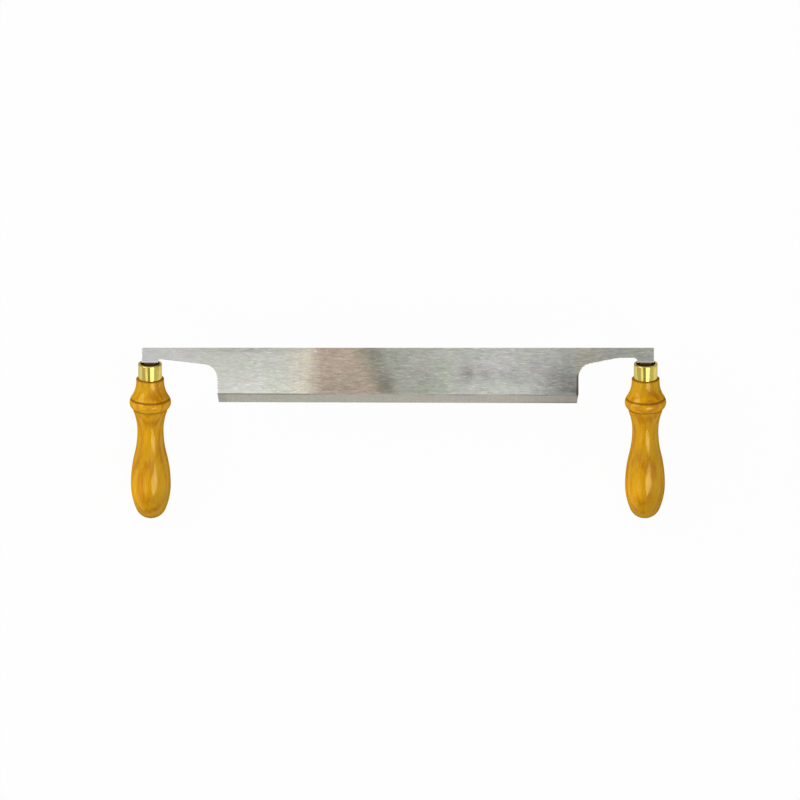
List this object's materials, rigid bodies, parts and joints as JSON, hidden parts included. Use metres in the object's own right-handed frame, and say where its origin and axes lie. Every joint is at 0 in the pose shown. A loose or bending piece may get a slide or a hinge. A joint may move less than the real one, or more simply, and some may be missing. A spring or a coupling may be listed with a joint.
{
  "type": "drawknife",
  "caption": "Two-handled drawknife: a straight single-bevel steel blade with turned wooden handles, brass ferrules and canted tangs, pulled towards the user to shave wood.",
  "frame": {"origin": "the middle of the blade's straight spine, on its flat back, midway between the two handles", "axes": "+X along the blade towards the right handle, +Y out of the spine away from the user, +Z out of the bevelled face; the handles run back along -Y and drop towards -Z"},
  "size_m": [0.3812, 0.1213, 0.0552],
  "materials": {
    "blade_steel": "ground along its length, satin",
    "ferrule_brass": "turned and polished",
    "handle_wood": "turned hardwood under honey-coloured varnish"
  },
  "bodies": {
    "root": {"blade": "blade_steel", "left_ferrule": "ferrule_brass", "right_ferrule": "ferrule_brass", "left_handle": "handle_wood", "right_handle": "handle_wood"}
  },
  "joints": []
}
